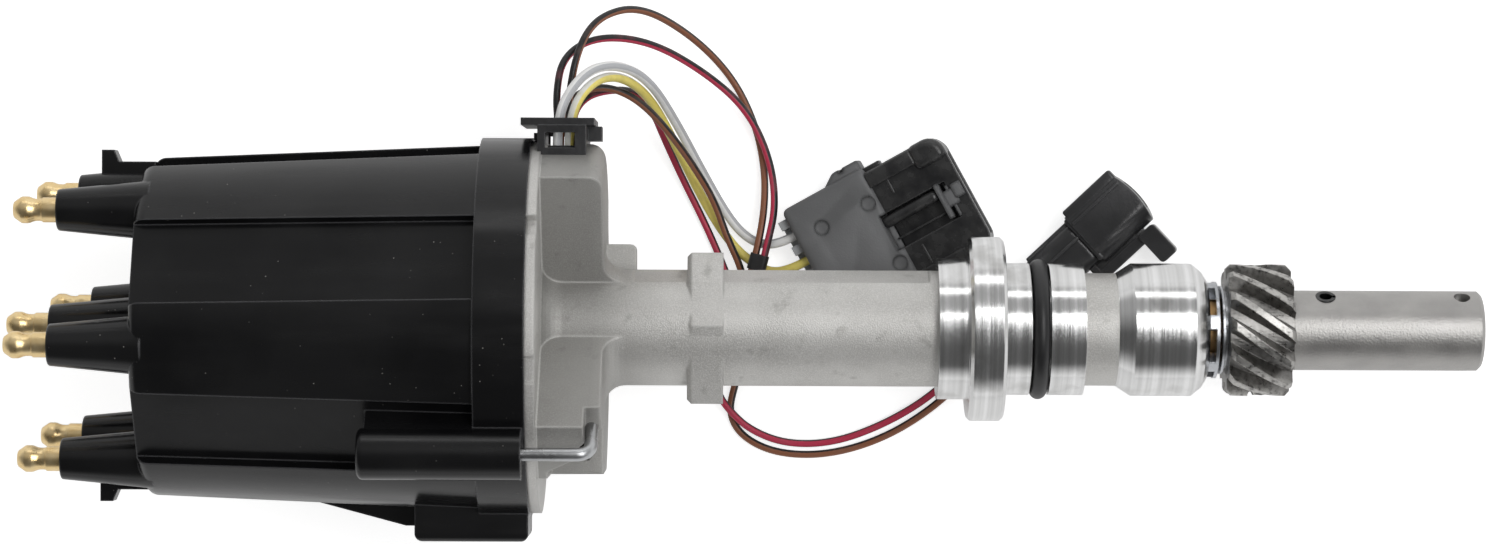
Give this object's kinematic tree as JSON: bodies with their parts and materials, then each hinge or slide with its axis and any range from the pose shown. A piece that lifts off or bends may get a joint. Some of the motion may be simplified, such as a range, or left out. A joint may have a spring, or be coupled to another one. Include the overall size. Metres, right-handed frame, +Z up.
{
  "type": "ignition distributor",
  "caption": "Electronic ignition distributor lying on its side: ribbed cap with brass terminals, cast housing, helical drive gear, long drive sleeve and a wired harness.",
  "frame": {"origin": "on the floor under the middle of the distributor, harness left out", "axes": "+Z up from the floor, +X along the distributor from the cap to the drive end, in plan"},
  "size_m": [0.3506, 0.1289, 0.1004],
  "materials": {
    "cast_aluminium": "bead-blasted casting with machined lands",
    "sintered_bronze": "oil-filled sintered bronze",
    "seal_rubber": "smooth black rubber",
    "spring_steel": "plain spring steel",
    "zinc_steel": "bright zinc plate",
    "ferrite": "dark sintered ferrite",
    "bobbin_plastic": "moulded nylon",
    "copper_winding": "varnished copper wire",
    "laminated_steel": "plain stamped steel",
    "module_plastic": "potted black plastic",
    "cap_plastic": "glossy black moulding",
    "terminal_brass": "turned brass",
    "clip_plastic": "matte black moulding",
    "carbon": "moulded carbon",
    "ground_steel": "ground steel",
    "gear_steel": "dark hardened steel with bright crests",
    "sleeve_steel": "grey sintered steel",
    "connector_plastic": "matte dark grey moulding",
    "two_way_plastic": "satin black moulding",
    "lock_plastic": "light grey moulding",
    "wire_white": "light grey insulation",
    "wire_yellow": "yellow and white insulation",
    "wire_red": "red insulation with a black stripe",
    "wire_brown": "brown insulation with a black stripe"
  },
  "bodies": {
    "distributor": {"housing": "cast_aluminium", "upper_bushing": "sintered_bronze", "lower_bushing": "sintered_bronze", "o_ring": "seal_rubber", "retaining_clip": "spring_steel", "shaft_seal": "seal_rubber", "pickup_base_plate": "zinc_steel", "magnet_ring": "ferrite", "coil_bobbin": "bobbin_plastic", "pickup_winding": "copper_winding", "pole_piece": "laminated_steel", "ignition_module": "module_plastic", "module_screws": "zinc_steel", "distributor_cap": "cap_plastic", "centre_terminal": "terminal_brass", "harness_clip": "clip_plastic", "harness_grommet": "seal_rubber", "thrust_cup": "zinc_steel", "button_spring": "spring_steel", "latch_spring_1": "spring_steel", "latch_spring_2": "spring_steel", "plug_terminal_1": "terminal_brass", "plug_terminal_2": "terminal_brass", "plug_terminal_3": "terminal_brass", "plug_terminal_4": "terminal_brass", "plug_terminal_5": "terminal_brass", "plug_terminal_6": "terminal_brass", "four_way_connector": "connector_plastic", "four_way_seals": "seal_rubber", "four_way_terminals": "terminal_brass", "four_way_lock": "lock_plastic", "two_way_connector": "two_way_plastic", "two_way_seals": "seal_rubber", "two_way_terminals": "terminal_brass", "two_way_latch": "lock_plastic", "wire_white": "wire_white", "wire_yellow": "wire_yellow", "wire_red": "wire_red", "wire_brown": "wire_brown", "wire_brown_2": "wire_brown", "wire_red_2": "wire_red", "wire_sleeve": "seal_rubber"},
    "drive_shaft": {"shaft": "ground_steel", "trigger_wheel": "laminated_steel", "rotor_body": "cap_plastic", "rotor_blade": "terminal_brass", "rotor_contact": "spring_steel", "rotor_screws": "zinc_steel", "drive_gear": "gear_steel", "gear_pin": "spring_steel", "drive_sleeve": "sleeve_steel", "sleeve_pin": "spring_steel", "spring_washer": "spring_steel", "shim_washer": "zinc_steel"},
    "centre_button": {"carbon_button": "carbon"},
    "latch_slider_1": {"latch_washer_1": "zinc_steel"},
    "latch_1": {"latch_rod_1": "zinc_steel"},
    "latch_slider_2": {"latch_washer_2": "zinc_steel"},
    "latch_2": {"latch_rod_2": "zinc_steel"}
  },
  "joints": [
    {"name": "shaft_spin", "type": "hinge", "parent": "distributor", "child": "drive_shaft", "pos_m": [0.06087, 0.00053, 0.02718], "axis": [0.9878, 0, -0.156], "continuous": true},
    {"name": "button_slide", "type": "slide", "parent": "distributor", "child": "centre_button", "axis": [-0.9878, 0, 0.156], "range_m": [0, 0.003], "stiffness_N_per_m": 200, "springref_m": -0.004, "deforming": ["button_spring"]},
    {"name": "latch_push_1", "type": "slide", "parent": "distributor", "child": "latch_slider_1", "axis": [0.9878, 0, -0.156], "range_m": [0, 0.0025], "stiffness_N_per_m": 3000, "springref_m": -0.005, "deforming": ["latch_spring_1"]},
    {"name": "latch_turn_1", "type": "hinge", "parent": "latch_slider_1", "child": "latch_1", "pos_m": [-0.07898, -0.02703, 0.08906], "axis": [-0.9878, 0, 0.156], "range_deg": [0, 90]},
    {"name": "latch_push_2", "type": "slide", "parent": "distributor", "child": "latch_slider_2", "axis": [0.9878, 0, -0.156], "range_m": [0, 0.0025], "stiffness_N_per_m": 3000, "springref_m": -0.005, "deforming": ["latch_spring_2"]},
    {"name": "latch_turn_2", "type": "hinge", "parent": "latch_slider_2", "child": "latch_2", "pos_m": [-0.09125, 0.02809, 0.01142], "axis": [-0.9878, 0, 0.156], "range_deg": [0, 90]}
  ]
}
